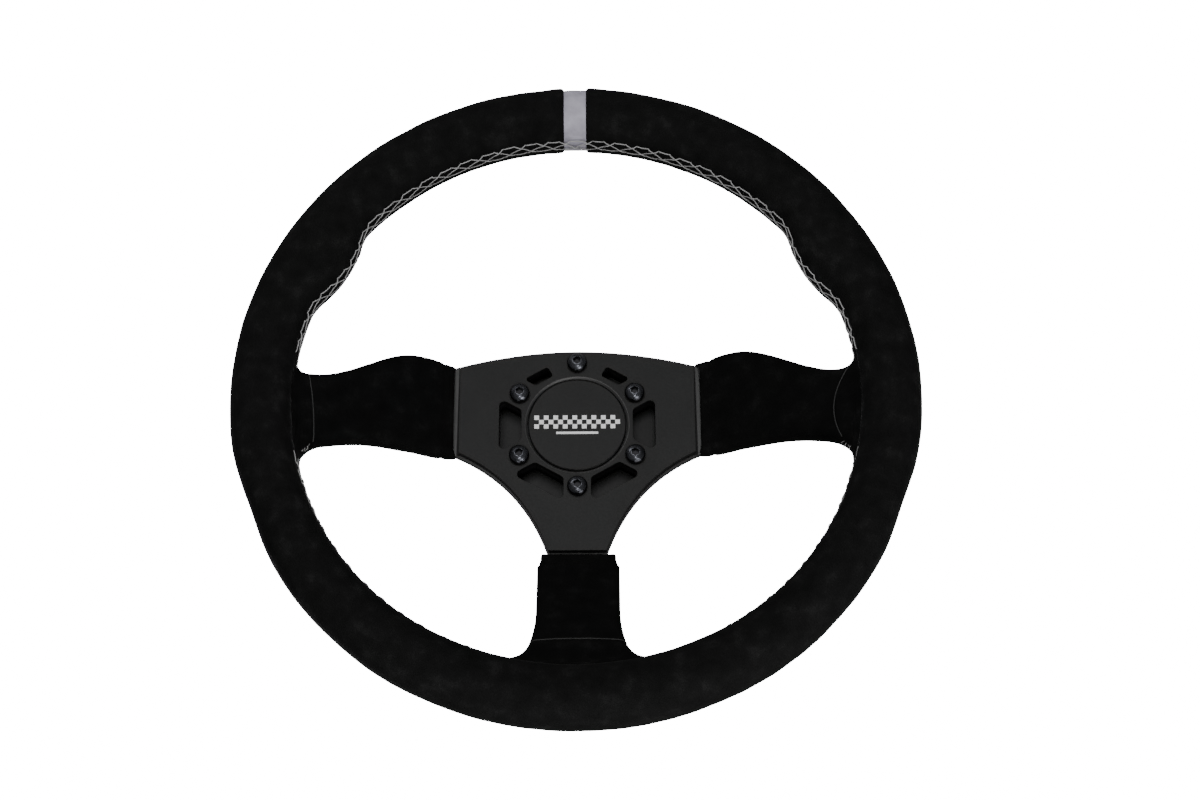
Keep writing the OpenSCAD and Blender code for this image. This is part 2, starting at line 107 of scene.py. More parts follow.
# the rim's plain section: a circle stretched along Z by its flats
SECTION_R = 15.5
SECTION_FLAT = (RIM_HIGH - RIM_LOW) / 2 - SECTION_R
RIM_R = RIM_OUT - SECTION_R
INNER_R = RIM_R - SECTION_R

# the stripe's two half widths, and the rolled edges of the suede beside it
STRIPE_LEFT, STRIPE_RIGHT = 6.0, 5.4
LIP_R, LIP_RISE = 2.0, 0.35

# thumb grips: how far they stand in, and how round they are
GRIP_ANGLES = (30, 150)
GRIP_DEPTH, GRIP_R = 6.9, 60.0

# where the rim is slimmer inside, dented outside and fuller outside
SLIM_ANGLES = (226, 314)
DENT_ANGLES = (201, 338.5)
FULL_ANGLES = (236, 304)
FOAM_DEPTH = 2.6

# the angles that the spokes take from the stitching, from three o'clock and from six
SIDE_SPOKE_SPAN = (-12.5, 9)
BOTTOM_SPOKE_HALF = 15

# the spokes' mid-lines, and half the thickness of their sleeves
SPOKE_RIM_Z = RIM_Z - 10
BEND_R = 30.0
RIM_BEND = 140.0
WRAP_HALF = 6.0

# the two rows of stitches lie in front of and behind the rim's middle; a bar's half length is in stitches
STITCHES = 76
ROW_HIGH, ROW_LOW = 5.2, -2.2
SEAM_HEIGHT = (ROW_HIGH + ROW_LOW) / 2
BAR_HALF = 0.26
THREAD_R = 0.3


def smooth(t):
    """0 before t = 0, 1 after t = 1, and a smooth step between."""
    t = np.clip(t, 0, 1)
    return t * t * (3 - 2 * t)


def bump(distance, width):
    """A bell that is 1 where distance is 0."""
    return np.exp(-(np.asarray(distance, float) / width) ** 2)


def wrapped(angle):
    """Angle in degrees brought to -180 to 180."""
    return (np.asarray(angle, float) + 180) % 360 - 180


def bumps(angle, centres, width):
    """Bells at two angles round the rim."""
    return bump(wrapped(angle - centres[0]), width) + bump(wrapped(angle - centres[1]), width)


def unevenness(points, size, seed):
    """Smooth noise for each point, from about -1 to 1, with lumps about size across."""
    shift = Vector((seed * 17.3, seed * 5.1, seed * 9.7))
    return np.array([noise.noise(Vector(p) / size + shift) for p in points]) * 1.6


# ---------- mesh making ----------

def add_object(name, mesh, body="wheel"):
    made = bpy.data.objects.new(name, mesh)
    bpy.context.scene.collection.objects.link(made)
    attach(made, body)
    return made


def mesh_from(name, points, faces):
    """A smooth-shaded mesh of points in millimetres, with its faces turned outwards."""
    mesh = bpy.data.meshes.new(name)
    mesh.from_pydata((np.asarray(points, float) * MM).tolist(), [], faces)
    mesh.validate()
    tidy = bmesh.new()
    tidy.from_mesh(mesh)
    bmesh.ops.recalc_face_normals(tidy, faces=tidy.faces)
    for face in tidy.faces:
        face.smooth = True
    tidy.to_mesh(mesh)
    tidy.free()
    return mesh


def loft_faces(count, around, loop, start=0):
    """Quads between rings of points that follow each other, and a cap at each end of an open loft."""
    faces = []
    for i in range(count if loop else count - 1):
        here, there = start + i * around, start + (i + 1) % count * around
        for k in range(around):
            m = (k + 1) % around
            faces.append((here + k, here + m, there + m, there + k))
    if not loop:
        faces.append(tuple(start + k for k in range(around)))
        faces.append(tuple(start + (count - 1) * around + k for k in range(around)))
    return faces


def loft(name, rings, loop=False):
    """A closed skin over rings of points."""
    rings = np.asarray(rings, float)
    count, around = rings.shape[:2]
    return add_object(name, mesh_from(name, rings.reshape(-1, 3), loft_faces(count, around, loop)))


def tube_rings(path, radius, sides):
    """Rings of points round a path, each turned as little as possible from the one before."""
    path = np.asarray(path, float)
    along = np.gradient(path, axis=0)
    along /= np.linalg.norm(along, axis=1)[:, None]
    side = np.cross(along[0], (0, 0, 1.0))
    if np.linalg.norm(side) < 1e-3:
        side = np.cross(along[0], (1.0, 0, 0))
    rings = []
    for point, direction in zip(path, along):
        side = side - direction * (side @ direction)
        side /= np.linalg.norm(side)
        other = np.cross(direction, side)
        turn = np.linspace(0, 2 * math.pi, sides, endpoint=False)[:, None]
        rings.append(point + radius * (np.cos(turn) * side + np.sin(turn) * other))
    return np.array(rings)


def tubes(name, paths, radius, sides):
    """One object of closed tubes, one along each path."""
    points, faces = [], []
    for path in paths:
        rings = tube_rings(path, radius, sides)
        faces += loft_faces(len(rings), sides, False, start=len(points))
        points += rings.reshape(-1, 3).tolist()
    return add_object(name, mesh_from(name, points, faces))


# ---------- materials ----------

class Finish:
    """A procedural material: a Principled shader and short names for the nodes that feed it."""

    def __init__(self, name, **values):
        self.material = bpy.data.materials.new(name)
        self.material.use_nodes = True
        self.tree = self.material.node_tree
        self.shader = self.tree.nodes["Principled BSDF"]
        self.coordinates = self.tree.nodes.new("ShaderNodeTexCoord").outputs["Object"]
        self.height = None
        for socket, value in values.items():
            self.shader.inputs[socket.replace("_", " ")].default_value = value

    def node(self, kind, **links):
        made = self.tree.nodes.new("ShaderNode" + kind)
        for socket, value in links.items():
            target = made.inputs[socket.replace("_", " ")]
            if isinstance(value, bpy.types.NodeSocket):
                self.tree.links.new(value, target)
            else:
                target.default_value = value
        return made

    def noise(self, size, detail=3.0, stretch=(1, 1, 1)):
        """Noise from 0 to 1 with lumps about size millimetres across, longer along the stretched axes."""
        place = self.node("Mapping", Vector=self.coordinates)
        for axis in range(3):
            place.inputs["Scale"].default_value[axis] = 1 / stretch[axis]
        found = self.node("TexNoise", Vector=place.outputs["Vector"], Scale=1 / (size * MM), Detail=detail)
        return found.outputs["Fac"]

    def cells(self, size):
        """Distance to the nearest of scattered points about size millimetres apart."""
        return self.node("TexVoronoi", Vector=self.coordinates, Scale=1 / (size * MM)).outputs["Distance"]

    def between(self, value, low, high, start=0.3, end=0.7):
        """Number that goes from low to high as value goes from start to end."""
        found = self.node("MapRange", Value=value)
        found.inputs["From Min"].default_value = start
        found.inputs["From Max"].default_value = end
        found.inputs["To Min"].default_value = low
        found.inputs["To Max"].default_value = high
        return found.outputs["Result"]

    def step(self, value, place, width):
        """0 below a place in millimetres, and 1 past its width above it."""
        return self.between(value, 0, 1, place * MM, (place + width) * MM)

    def shades(self, value, *stops):
        """Colour along a ramp of (position, colour) stops."""
        ramp = self.node("ValToRGB", Fac=value)
        elements = ramp.color_ramp.elements
        while len(elements) < len(stops):
            elements.new(0.5)
        for element, (position, colour) in zip(elements, stops):
            element.position = position
            element.color = (*colour, 1)
        return ramp.outputs["Color"]

    def together(self, a, b, operation="ADD"):
        found = self.node("Math")
        found.operation = operation
        for socket, value in zip(found.inputs, (a, b)):
            if isinstance(value, bpy.types.NodeSocket):
                self.tree.links.new(value, socket)
            else:
                socket.default_value = value
        return found.outputs["Value"]

    def feed(self, socket, value):
        self.tree.links.new(value, self.shader.inputs[socket])

    def relief(self, value, depth, strength=1.0):
        """Adds a bump of depth millimetres from a 0 to 1 value."""
        found = self.node("Bump", Height=value, Distance=depth * MM, Strength=strength)
        if self.height is not None:
            self.tree.links.new(self.height, found.inputs["Normal"])
        self.height = found.outputs["Normal"]
        self.feed("Normal", self.height)


def grey(level):
    return (level, level, level)


def make_suede(name, depth):
    """Black napped suede; depth scales how light its brushed patches are."""
    finish = Finish(name, Sheen_Weight=0.085, Sheen_Roughness=0.2)
    finish.shader.inputs["Specular IOR Level"].default_value = 0.03
    finish.shader.inputs["Sheen Tint"].default_value = (0.75, 0.74, 0.76, 1)
    brushed = finish.noise(9, 4)
    nap = finish.noise(0.5, 2)
    mottle = finish.together(finish.together(brushed, 0.65, "MULTIPLY"),
                             finish.together(nap, 0.35, "MULTIPLY"))
    stops = ((0.35, 0.0038), (0.55, 0.0062), (0.75, 0.015))
    colour = finish.shades(mottle, *((place, grey(level * depth)) for place, level in stops))
    finish.feed("Base Color", colour)
    finish.feed("Roughness", finish.between(brushed, 0.86, 0.98))
    finish.relief(brushed, 0.25)
    finish.relief(nap, 0.12)
    finish.relief(finish.noise(0.16, 2), 0.05)
    return finish.material


def make_stripe():
    finish = Finish("stripe_leather", Sheen_Weight=0.05)
    finish.shader.inputs["Specular IOR Level"].default_value = 0.45
    shade = finish.noise(6, 4)
    colour = finish.shades(shade, (0.3, (0.27, 0.257, 0.307)), (0.7, (0.375, 0.362, 0.422)))
    finish.feed("Base Color", colour)
    grain = finish.cells(0.9)
    finish.feed("Roughness", finish.between(grain, 0.5, 0.62, 0.1, 0.7))
    finish.relief(grain, 0.06)
    finish.relief(finish.noise(2.2, 3, (1, 1, 0.4)), 0.12)
    return finish.material


def make_thread(name, level):
    finish = Finish(name)
    finish.shader.inputs["Specular IOR Level"].default_value = 0.3
    fibre = finish.noise(0.25, 2)
    finish.feed("Base Color", finish.shades(fibre, (0.3, grey(level * 0.75)), (0.7, grey(level))))
    finish.feed("Roughness", finish.between(fibre, 0.55, 0.75))
    finish.relief(fibre, 0.06)
    return finish.material


def anodise(name, rough):
    """Bead-blasted and anodised aluminium, still without a colour, and its blotches from 0 to 1."""
    finish = Finish(name, Metallic=0.85)
    grain = finish.noise(0.22, 2)
    finish.feed("Roughness", finish.between(grain, rough - 0.05, rough + 0.07))
    finish.relief(grain, 0.012)
    return finish, finish.noise(30, 3)


def make_anodised(name, dark, light, rough):
    finish, blotch = anodise(name, rough)
    finish.feed("Base Color", finish.shades(blotch, (0.3, grey(dark)), (0.7, grey(light))))
    return finish.material


def make_plate_finish():
    """The faceplate's anodising, with a painted highlight: the chamfer of the cap's recess is given a lighter
    colour.
    """
    finish, blotch = anodise("anodised_plate", 0.55)
    place = finish.node("SeparateXYZ", Vector=finish.coordinates)
    squares = [finish.together(place.outputs[axis], 2, "POWER") for axis in "XY"]
    from_axis = finish.together(finish.together(*squares), 0.5, "POWER")
    outside_cap = finish.step(from_axis, CAP_R + 0.02, 0.03)
    inside_edge = finish.together(1, finish.step(from_axis, CHAMFER_R + 0.02, 0.03), "SUBTRACT")
    # painted highlight: the ring of the recess chamfer is coloured much lighter than the plate
    chamfer_highlight = finish.together(outside_cap, inside_edge, "MULTIPLY")
    value = finish.together(finish.between(blotch, 0, 0.2), chamfer_highlight)
    colour = finish.shades(value, (0.0, grey(0.0155)), (0.2, grey(0.0175)), (1.0, grey(0.08)))
    finish.feed("Base Color", colour)
    return finish.material


def make_arm_finish():
    """The spoke plate's anodising, with painted shade: a dark line on the plate beside the faceplate's two
    sides.
    """
    finish, blotch = anodise("spoke_metal", 0.45)
    place = finish.node("SeparateXYZ", Vector=finish.coordinates)
    beside = finish.together(finish.together(place.outputs["X"], 0, "ABSOLUTE"),
                             finish.together(place.outputs["Y"], SHADE_LINE_TAPER, "MULTIPLY"))
    # painted shade: a band about 1.5 mm wide, darkened on the plate close beside each side wall of the
    # faceplate, from the lower corners upwards
    past_line = finish.together(1, finish.step(beside, SHADE_LINE_X + 0.6, 0.2), "SUBTRACT")
    painted_shade = finish.together(past_line, finish.step(beside, SHADE_LINE_X - 1, 0.2), "MULTIPLY")
    painted_shade = finish.together(painted_shade, finish.step(place.outputs["Y"], SHADE_LINE_LOW, 1), "MULTIPLY")
    value = finish.together(finish.between(blotch, 0.8, 1.0), painted_shade, "SUBTRACT")
    colour = finish.shades(value, (0.0, grey(0.003)), (0.8, grey(0.03)), (1.0, grey(0.036)))
    finish.feed("Base Color", colour)
    return finish.material


def make_steel(name, level, rough, stretch=(1, 1, 1)):
    finish = Finish(name, Metallic=1.0)
    stain = finish.noise(12, 4)
    turned = finish.noise(0.3, 2, stretch)
    finish.feed("Base Color", finish.shades(stain, (0.3, grey(level * 0.82)), (0.7, grey(level))))
    finish.feed("Roughness", finish.between(turned, rough - 0.06, rough + 0.08))
    finish.relief(turned, 0.008)
    return finish.material


def make_screw_black():
    """Blackened steel, with painted shade: dark in the hex sockets and low on the heads, lighter on the domes
    above.
    """
    finish = Finish("black_screw", Metallic=0.9)
    place = finish.node("SeparateXYZ", Vector=finish.coordinates)
    # painted shade: everything below the upper part of the domes, the sockets included, is coloured near
    # black
    unshaded_top = finish.step(place.outputs["Z"], FRONT_Z + 2.7, 0.6)
    speck = finish.noise(0.5, 3)
    value = finish.together(unshaded_top, finish.between(speck, 0.75, 1.0), "MULTIPLY")
    colour = finish.shades(value, (0.0, (0.006, 0.006, 0.007)), (1.0, (0.085, 0.088, 0.100)))
    finish.feed("Base Color", colour)
    finish.feed("Roughness", finish.between(speck, 0.22, 0.34))
    finish.relief(speck, 0.01)
    return finish.material


def make_rubber(name, dark, light, rough):
    finish = Finish(name)
    finish.shader.inputs["Specular IOR Level"].default_value = 0.35
    blotch = finish.noise(7, 4)
    finish.feed("Base Color", finish.shades(blotch, (0.3, dark), (0.7, light)))
    finish.feed("Roughness", finish.between(blotch, rough - 0.06, rough + 0.06))
    finish.relief(finish.noise(0.3, 3), 0.02)
    return finish.material


SUEDE = make_suede("suede", 1.0)
SPOKE_SUEDE = make_suede("spoke_suede", 0.6)
STRIPE = make_stripe()
THREAD = make_thread("thread", 0.33)
DARK_THREAD = make_thread("dark_thread", 0.025)
FINISHES = {
    "anodised_plate": make_plate_finish(),
    "spoke_metal": make_arm_finish(),
    "black_anodised": make_anodised("black_anodised", 0.008, 0.011, 0.45),
    "nose_anodised": make_anodised("nose_anodised", 0.10, 0.14, 0.3),
    "black_screw": make_screw_black(),
    "core_steel": make_steel("core_steel", 0.25, 0.4),
    "barrel_steel": make_steel("barrel_steel", 0.42, 0.24, (4, 4, 0.6)),
    "bright_steel": make_steel("bright_steel", 0.6, 0.2),
    "ball_steel": make_steel("ball_steel", 0.72, 0.1),
    "foam": make_rubber("foam", grey(0.012), grey(0.02), 0.85),
    "suede": SUEDE,
    "stripe_leather": STRIPE,
    "thread": THREAD,
    "black_rubber": make_rubber("black_rubber", grey(0.012), grey(0.018), 0.55),
    "buffer_rubber": make_rubber("buffer_rubber", (0.20, 0.028, 0.018), (0.28, 0.042, 0.026), 0.4),
}


# ---------- rim ----------

def grip_edge(angle):
    """How far the two thumb grips stand in from the plain inner edge, before smoothing."""
    centre = INNER_R - GRIP_DEPTH + GRIP_R
    found = np.zeros_like(np.asarray(angle, float))
    for grip in GRIP_ANGLES:
        turn = np.radians(wrapped(angle - grip))
        off = centre * np.sin(turn)
        inside = (np.abs(off) < GRIP_R) & (np.cos(turn) > 0)
        edge = centre * np.cos(turn) - np.sqrt(np.maximum(GRIP_R ** 2 - off ** 2, 0))
        found = np.maximum(found, np.where(inside, np.maximum(INNER_R - edge, 0), 0))
    return found


def grip_swell(angle):
    """The thumb grips with their edges smoothed over about four degrees."""
    angle = np.asarray(angle, float)
    shifts = np.linspace(-2, 2, 9)
    return sum(grip_edge(angle + shift) for shift in shifts) / len(shifts)


def inner_radius(angle):
    """Radius of the rim's inner edge: its lower half is a little slimmer than its upper half."""
    slim = 1.2 * bumps(angle, SLIM_ANGLES, 28)
    full = 0.7 * bump(wrapped(angle - 90), 70)
    return INNER_R - grip_swell(angle) + slim - full


def section_angles():
    """Angles round the rim's section, closer together at the seam on the inner edge."""
    span = 22
    seam = np.linspace(180 - span, 180 + span, 64, endpoint=False)
    rest = np.linspace(180 + span, 540 - span, 56, endpoint=False)
    return np.radians(np.concatenate([seam, rest]))


def section_shape(turn):
    """Radial and front offsets of the plain section, and how much each point faces inwards."""
    radial = SECTION_R * np.cos(turn)
    lift = np.sin(turn)
    soft = 0.04
    front = SECTION_R * lift + SECTION_FLAT * lift / np.sqrt(lift ** 2 + soft) * math.sqrt(1 + soft)
    return radial, front, np.maximum(-np.cos(turn), 0)


def stripe_angle(distance, radius):
    """Angle past twelve o'clock at a distance past the stripe's middle; the stripe's sides stay parallel."""
    even = distance / RIM_R
    parallel = np.arcsin(np.clip(distance / radius, -1, 1))
    blend = smooth(np.abs(distance) / 40)
    return parallel * (1 - blend) + even * blend


def rim_ring(distance, inset):
    """A section of the rim at a distance along its mid circle from the stripe's middle."""
    turn = section_angles()
    radial, front, inward = section_shape(turn)
    angle = 90 - math.degrees(distance / RIM_R)
    swell = (INNER_R - inner_radius(angle)) * inward ** 0.8
    dent = 1.7 * bumps(angle, DENT_ANGLES, 7)
    full = 0.5 * bumps(angle, FULL_ANGLES, 18)
    radius = RIM_R + radial - swell + (full - dent) * np.maximum(np.cos(turn), 0) ** 2
    facing = np.stack([np.cos(turn), np.sin(turn)])
    radius = radius - facing[0] * inset
    height = front - facing[1] * inset
    place = math.pi / 2 - stripe_angle(distance, radius)
    return np.stack([radius * np.cos(place), radius * np.sin(place), RIM_Z + height], axis=1)


def stitch_place(angle):
    """Angle counted in stitches, anticlockwise from twelve o'clock."""
    return (angle - 90) * STITCHES / 360


def near_spoke(angle):
    """True where a spoke interrupts the stitching."""
    low, high = SIDE_SPOKE_SPAN
    beside = [(low < past) & (past < high) for past in (wrapped(angle), wrapped(180 - angle))]
    return beside[0] | beside[1] | (np.abs(wrapped(angle - 270)) < BOTTOM_SPOKE_HALF)


def bar_ends(place, offset):
    """1 at the holes where the bars of a row of stitches end, and 0 away from them."""
    from_bar = (place - offset + 0.5) % 1 - 0.5
    return bump(np.abs(from_bar) - BAR_HALF, 0.07)


def make_rim_suede():
    """The rim's suede: one skin from one side of the stripe round to the other."""
    turn_length = 2 * math.pi * RIM_R
    start, end = STRIPE_RIGHT, turn_length - STRIPE_LEFT
    lip_length = 5
    lip = np.linspace(0, lip_length, 24)
    middle = np.linspace(start + lip_length, end - lip_length, 930)[1:-1]
    along = np.concatenate([start + lip, middle, (end - lip)[::-1]])
    turn = section_angles()
    height = section_shape(turn)[1]
    inner = np.cos(turn) < 0
    rings = []
    for distance in along:
        from_edge_mm = min(distance - start, end - distance)
        from_edge = min(from_edge_mm / LIP_R, 1)
        roll = LIP_R * (1 - math.sqrt(1 - (1 - from_edge) ** 2))
        inset = np.full(len(turn), roll - LIP_RISE * smooth(1.5 - from_edge_mm / 8))
        angle = 90 - math.degrees(distance / RIM_R)
        if not near_spoke(angle):
            place = stitch_place(angle)
            seam = 0.7 * bump(height - SEAM_HEIGHT, 0.7)
            holes = (bar_ends(place, 0) * bump(height - ROW_HIGH, 0.8)
                     + bar_ends(place, 0.5) * bump(height - ROW_LOW, 0.8))
            rows = bump(height - ROW_HIGH, 0.7) + bump(height - ROW_LOW, 0.7)
            inset = inset + np.where(inner, seam + 0.3 * holes + 0.15 * rows, 0)
        else:
            inset = inset + np.where(inner, 0.35 * bump(height - SEAM_HEIGHT, 0.8), 0)
        rings.append(rim_ring(distance if distance < turn_length / 2 else distance - turn_length, inset))
    rings = np.array(rings)
    points = rings.reshape(-1, 3)
    away = points.copy()
    away[:, 2] -= RIM_Z
    flat = np.linalg.norm(points[:, :2], axis=1)
    away[:, :2] -= points[:, :2] / flat[:, None] * RIM_R
    away /= np.linalg.norm(away, axis=1)[:, None]
    lumps = 0.22 * unevenness(points, 26, 1) + 0.09 * unevenness(points, 8, 2)
    rings = (points + away * lumps[:, None]).reshape(rings.shape)
    rim = loft("rim_suede", rings)
    rim.data.materials.append(SUEDE)
    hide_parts("rim_wrap")


def make_stripe_band():
    """The leather band in the gap of the suede, dipping under the suede's rolled edges."""
    turn = section_angles()
    rings = []
    for distance in np.linspace(-STRIPE_LEFT - 1.3, STRIPE_RIGHT + 1.3, 31):
        tuck = smooth((abs(distance) - STRIPE_LEFT + 0.4) / 1.6)
        crown = 0.12 * (distance / STRIPE_LEFT) ** 2
        folds = [
            0.14 * noise.noise(Vector((distance * 0.06, math.degrees(t) * 0.13, 3)))
            + 0.09 * noise.noise(Vector((distance * 0.2, math.degrees(t) * 0.5, 7)))
            for t in turn
        ]
        rings.append(rim_ring(distance, 0.85 + crown + 0.3 * tuck + np.array(folds)))
    band = loft("stripe_band", rings)
    band.data.materials.append(STRIPE)
    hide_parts("centre_stripe")


def make_rim_foam():
    """The rim's foam, following the skin at FOAM_DEPTH under it, clear of its grooves and dents."""
    half_turn = math.pi * RIM_R
    stations = np.linspace(-half_turn, half_turn, 240, endpoint=False)
    foam = loft("rim_foam_body", [rim_ring(distance, FOAM_DEPTH) for distance in stations], loop=True)
    foam.data.materials.append(FINISHES["foam"])
    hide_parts("rim_foam")


def seam_point(angle, height, proud):
    """A point on the rim's inner side, proud of the suede: the thread is pulled tighter in the lower half."""
    turns = np.radians(np.linspace(140, 220, 161))[::-1]
    turn = np.interp(height, section_shape(turns)[1], turns)
    radial, front, inward = section_shape(turn)
    swell = (INNER_R - inner_radius(angle)) * inward ** 0.8
    proud -= 0.45 * float(smooth(2 - abs(wrapped(angle - 270)) / 55))
    radius = RIM_R + radial - swell + math.cos(turn) * proud
    place = math.radians(angle)
    return (radius * math.cos(place), radius * math.sin(place), RIM_Z + front + math.sin(turn) * proud)


def stitch_runs():
    """First and last place of each unbroken run of stitches, counted from twelve o'clock."""
    sewn = [index for index in range(STITCHES) if not near_spoke(90 + index * 360 / STITCHES)]
    breaks = [k for k in range(1, len(sewn)) if sewn[k] > sewn[k - 1] + 1]
    first, last = [sewn[k] for k in breaks], [sewn[k - 1] for k in breaks]
    return list(zip(first, last[1:] + [last[0] + STITCHES]))


def herringbone_thread(low, high, offset, rng):
    """Path of one of the three threads: a bar on the upper row, a slant, a bar on the lower row, and back."""
    path = []
    pitch = 1.5
    for index in range(math.ceil((low - offset) / pitch), math.floor((high - offset) / pitch) + 1):
        row, other = (ROW_HIGH, ROW_LOW) if index % 2 == 0 else (ROW_LOW, ROW_HIGH)
        row += rng.uniform(-0.3, 0.3)
        middle = offset + pitch * index + rng.uniform(-0.05, 0.05)
        slack = rng.uniform(-0.25, 0.25)
        for share, proud in ((-1, -0.1), (-0.7, 0.2), (0, 0.28), (0.7, 0.2), (1, -0.1)):
            path.append((middle + share * BAR_HALF, row + slack * (1 - share ** 2), proud))
        if offset + pitch * (index + 1) <= high:
            slant = pitch - 2 * BAR_HALF
            for share in (0.08, 0.25, 0.42, 0.58, 0.75, 0.92):
                proud = 0.25 + 0.5 * float(bump(share - 0.25, 0.14))
                path.append((middle + BAR_HALF + slant * share, row + (other - row) * share, proud))
    return [seam_point(90 + place * 360 / STITCHES, height, proud) for place, height, proud in path]


def finer(path, times):
    """The path with extra points on a smooth curve through its own."""
    path = np.asarray(path, float)
    ends = np.concatenate([[2 * path[0] - path[1]], path, [2 * path[-1] - path[-2]]])
    found = []
    for before, a, b, after in zip(ends, ends[1:], ends[2:], ends[3:]):
        for t in np.arange(times) / times:
            found.append(0.5 * (2 * a + (b - before) * t + (2 * before - 5 * a + 4 * b - after) * t ** 2
                                + (3 * a - before - 3 * b + after) * t ** 3))
    found.append(path[-1])
    return np.array(found)


def make_stitching():
    rng = np.random.default_rng(5)
    paths = []
    for low, high in stitch_runs():
        for offset in range(math.ceil(low), math.ceil(low) + 3):
            paths.append(finer(herringbone_thread(low - 0.5, high + 0.5, offset, rng), 3))
    thread = tubes("rim_thread", paths, THREAD_R, 8)
    thread.data.materials.append(THREAD)
    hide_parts("rim_stitching")


# ---------- spokes ----------

def flared(distance, start, end):
    return np.clip((distance - start) / (end - start), 0, 1) ** 2


def side_high(distance):
    """Upper edge of a side spoke: narrower at the hub, and stepping down to the rim."""
    hub = 3.5 * (1 - smooth((distance - 62) / 16))
    return 38.7 - hub - 22.8 * smooth((distance - 83) / 54)


def side_low(distance):
    hub = 1 - smooth((distance - 66) / 24)
    return -15.2 - hub - 10 * flared(distance, 96, RIM_BEND)


def bottom_edge(distance):
    hem = 1.75 * (1 - smooth((distance - 74.5) / 4.5))
    return 21.1 - hem + 7 * flared(distance, 108, RIM_BEND)


class Spoke:
    """One padded spoke: its mid-line, its outline and its suede sleeve, blended into the rim.

    turn is where it points, corner is where its arm bends up from the hub, and start is its hem at the hub.
    fillets and ears have a value for its lower and its upper edge: the fillet into the rim, and how far the
    hem's corner reaches towards the hub. seam is the seam's least distance, how much it bows, and the middle
    and the reach of the bow.
    """

    # how far its rim lies under the suede, its fillet in front, and its last ring inside the rim
    SUNK = 0.3
    FRONT_FILLET = 9.0
    END = 157.0

    def __init__(self, name, turn, corner, start, edges, fillets, ears, seam,
                 lift=0.0, edge_r=4.5, mirrored=False):
        self.name = name
        self.turn = math.radians(turn)
        self.corner = corner
        self.start = start
        self.edges = edges
        self.fillets = fillets
        self.ears = ears
        self.seam = seam
        self.lift = lift
        self.edge_r = edge_r
        self.mirrored = mirrored
        self.low = PLATE_LOW + 2
        self.slope = math.atan2(SPOKE_RIM_Z - self.low, RIM_BEND - corner)
        self.cut = BEND_R * math.tan(self.slope / 2)

    def line(self, distance):
        """Height and slope of the mid-line at a distance from the wheel's centre."""
        first, second = self.corner - self.cut, RIM_BEND + self.cut
        reach = BEND_R * math.sin(self.slope)
        if distance < first:
            return self.low, 0.0
        if distance < first + reach:
            rise = math.asin((distance - first) / BEND_R)
            return self.low + BEND_R * (1 - math.cos(rise)), rise
        if distance < second - reach:
            rise = self.low + BEND_R * (1 - math.cos(self.slope))
            return rise + (distance - first - reach) * math.tan(self.slope), self.slope
        if distance < second:
            rise = math.asin((second - distance) / BEND_R)
            return SPOKE_RIM_Z - BEND_R * (1 - math.cos(rise)), rise
        return SPOKE_RIM_Z, 0.0

    def middle(self, distance):
        """Middle and half width of the sleeve at a distance."""
        low, high = (edge(distance) for edge in self.edges)
        return (low + high) / 2 + self.lift, (high - low) / 2

    def place(self, distance, across, offset):
        """Points in the wheel's frame from a distance on the mid-line, a way across and a way in front."""
        height, slope = self.line(distance)
        out = distance - math.sin(slope) * offset
        across = -across if self.mirrored else across
        x = out * math.cos(self.turn) - across * math.sin(self.turn)
        y = out * math.sin(self.turn) + across * math.cos(self.turn)
        return np.stack([x, y, height + math.cos(slope) * offset], axis=-1)

    def field(self, distance, across, offset):
        """Below zero inside the padded spoke or the rim, with a soft fillet where they meet."""
        height, slope = self.line(distance)
        out = distance - math.sin(slope) * offset
        front = height + math.cos(slope) * offset
        middle, half = self.middle(out)
        share = np.abs(across - middle) / half
        hem = 1 - smooth((distance - self.start) / 6)
        thick = WRAP_HALF - 0.7 * hem + 0.5 * (1 - np.minimum(share, 1) ** 2)
        beside = share * half - half + self.edge_r
        above = np.abs(offset) - thick + self.edge_r
        slab = np.hypot(np.maximum(beside, 0), np.maximum(above, 0)) - self.edge_r
        slab = slab + np.minimum(np.maximum(beside, above), 0)
        apart = np.hypot(out, across) - RIM_R
        rim = np.hypot(apart, np.maximum(np.abs(front - RIM_Z) - SECTION_FLAT, 0)) - SECTION_R + self.SUNK
        sideways = smooth((share - 0.6) / 0.4)
        beside_fillet = np.where(across > middle, self.fillets[1], self.fillets[0])
        fillet = self.FRONT_FILLET + (beside_fillet - self.FRONT_FILLET) * sideways
        close = np.maximum(fillet - np.abs(slab - rim), 0) / fillet
        return np.minimum(slab, rim) - close ** 2 * fillet / 4

    def ring(self, distance):
        """Across and offset of the sleeve's surface all round at a distance."""
        middle, half = self.middle(distance)
        turn = np.linspace(0, 2 * math.pi, 128, endpoint=False)
        share = np.sign(np.cos(turn)) * np.abs(np.cos(turn)) ** 0.3
        out = np.sign(np.sin(turn)) * np.abs(np.sin(turn)) ** 0.4
        aim = np.stack([share * half, out * WRAP_HALF], axis=1)
        base = np.linalg.norm(aim, axis=1)
        aim /= base[:, None]
        steps = np.linspace(0, 1, 160)
        reach = 0.4 * base[:, None] + (0.6 * base[:, None] + 15) * steps
        across = middle + aim[:, :1] * reach
        offset = aim[:, 1:] * reach
        value = self.field(distance, across, offset)
        outside = value > 0
        found = np.where(outside.any(axis=1), outside.argmax(axis=1), len(steps) - 1)
        row = np.arange(len(found))
        before = np.maximum(found - 1, 0)
        near, far = value[row, before], value[row, found]
        part = np.where((far > 0) & (near < 0), near / np.minimum(near - far, -1e-9), 1.0)
        length = reach[row, before] + part * (reach[row, found] - reach[row, before])
        return middle + aim[:, 0] * length, aim[:, 1] * length

    def height(self, distance, across, side):
        """Offset of the sleeve's front (side 1) or back (side -1) at a place across it."""
        offset = side * np.linspace(14, 0, 281)
        value = self.field(distance, np.full_like(offset, across), offset)
        return offset[int((value < 0).argmax())]

    def seam_at(self, across):
        """Distance of the sewn seam that joins the sleeve to the rim's suede."""
        near, bow, centre, reach = self.seam
        return near + bow * ((across - centre) / reach) ** 2


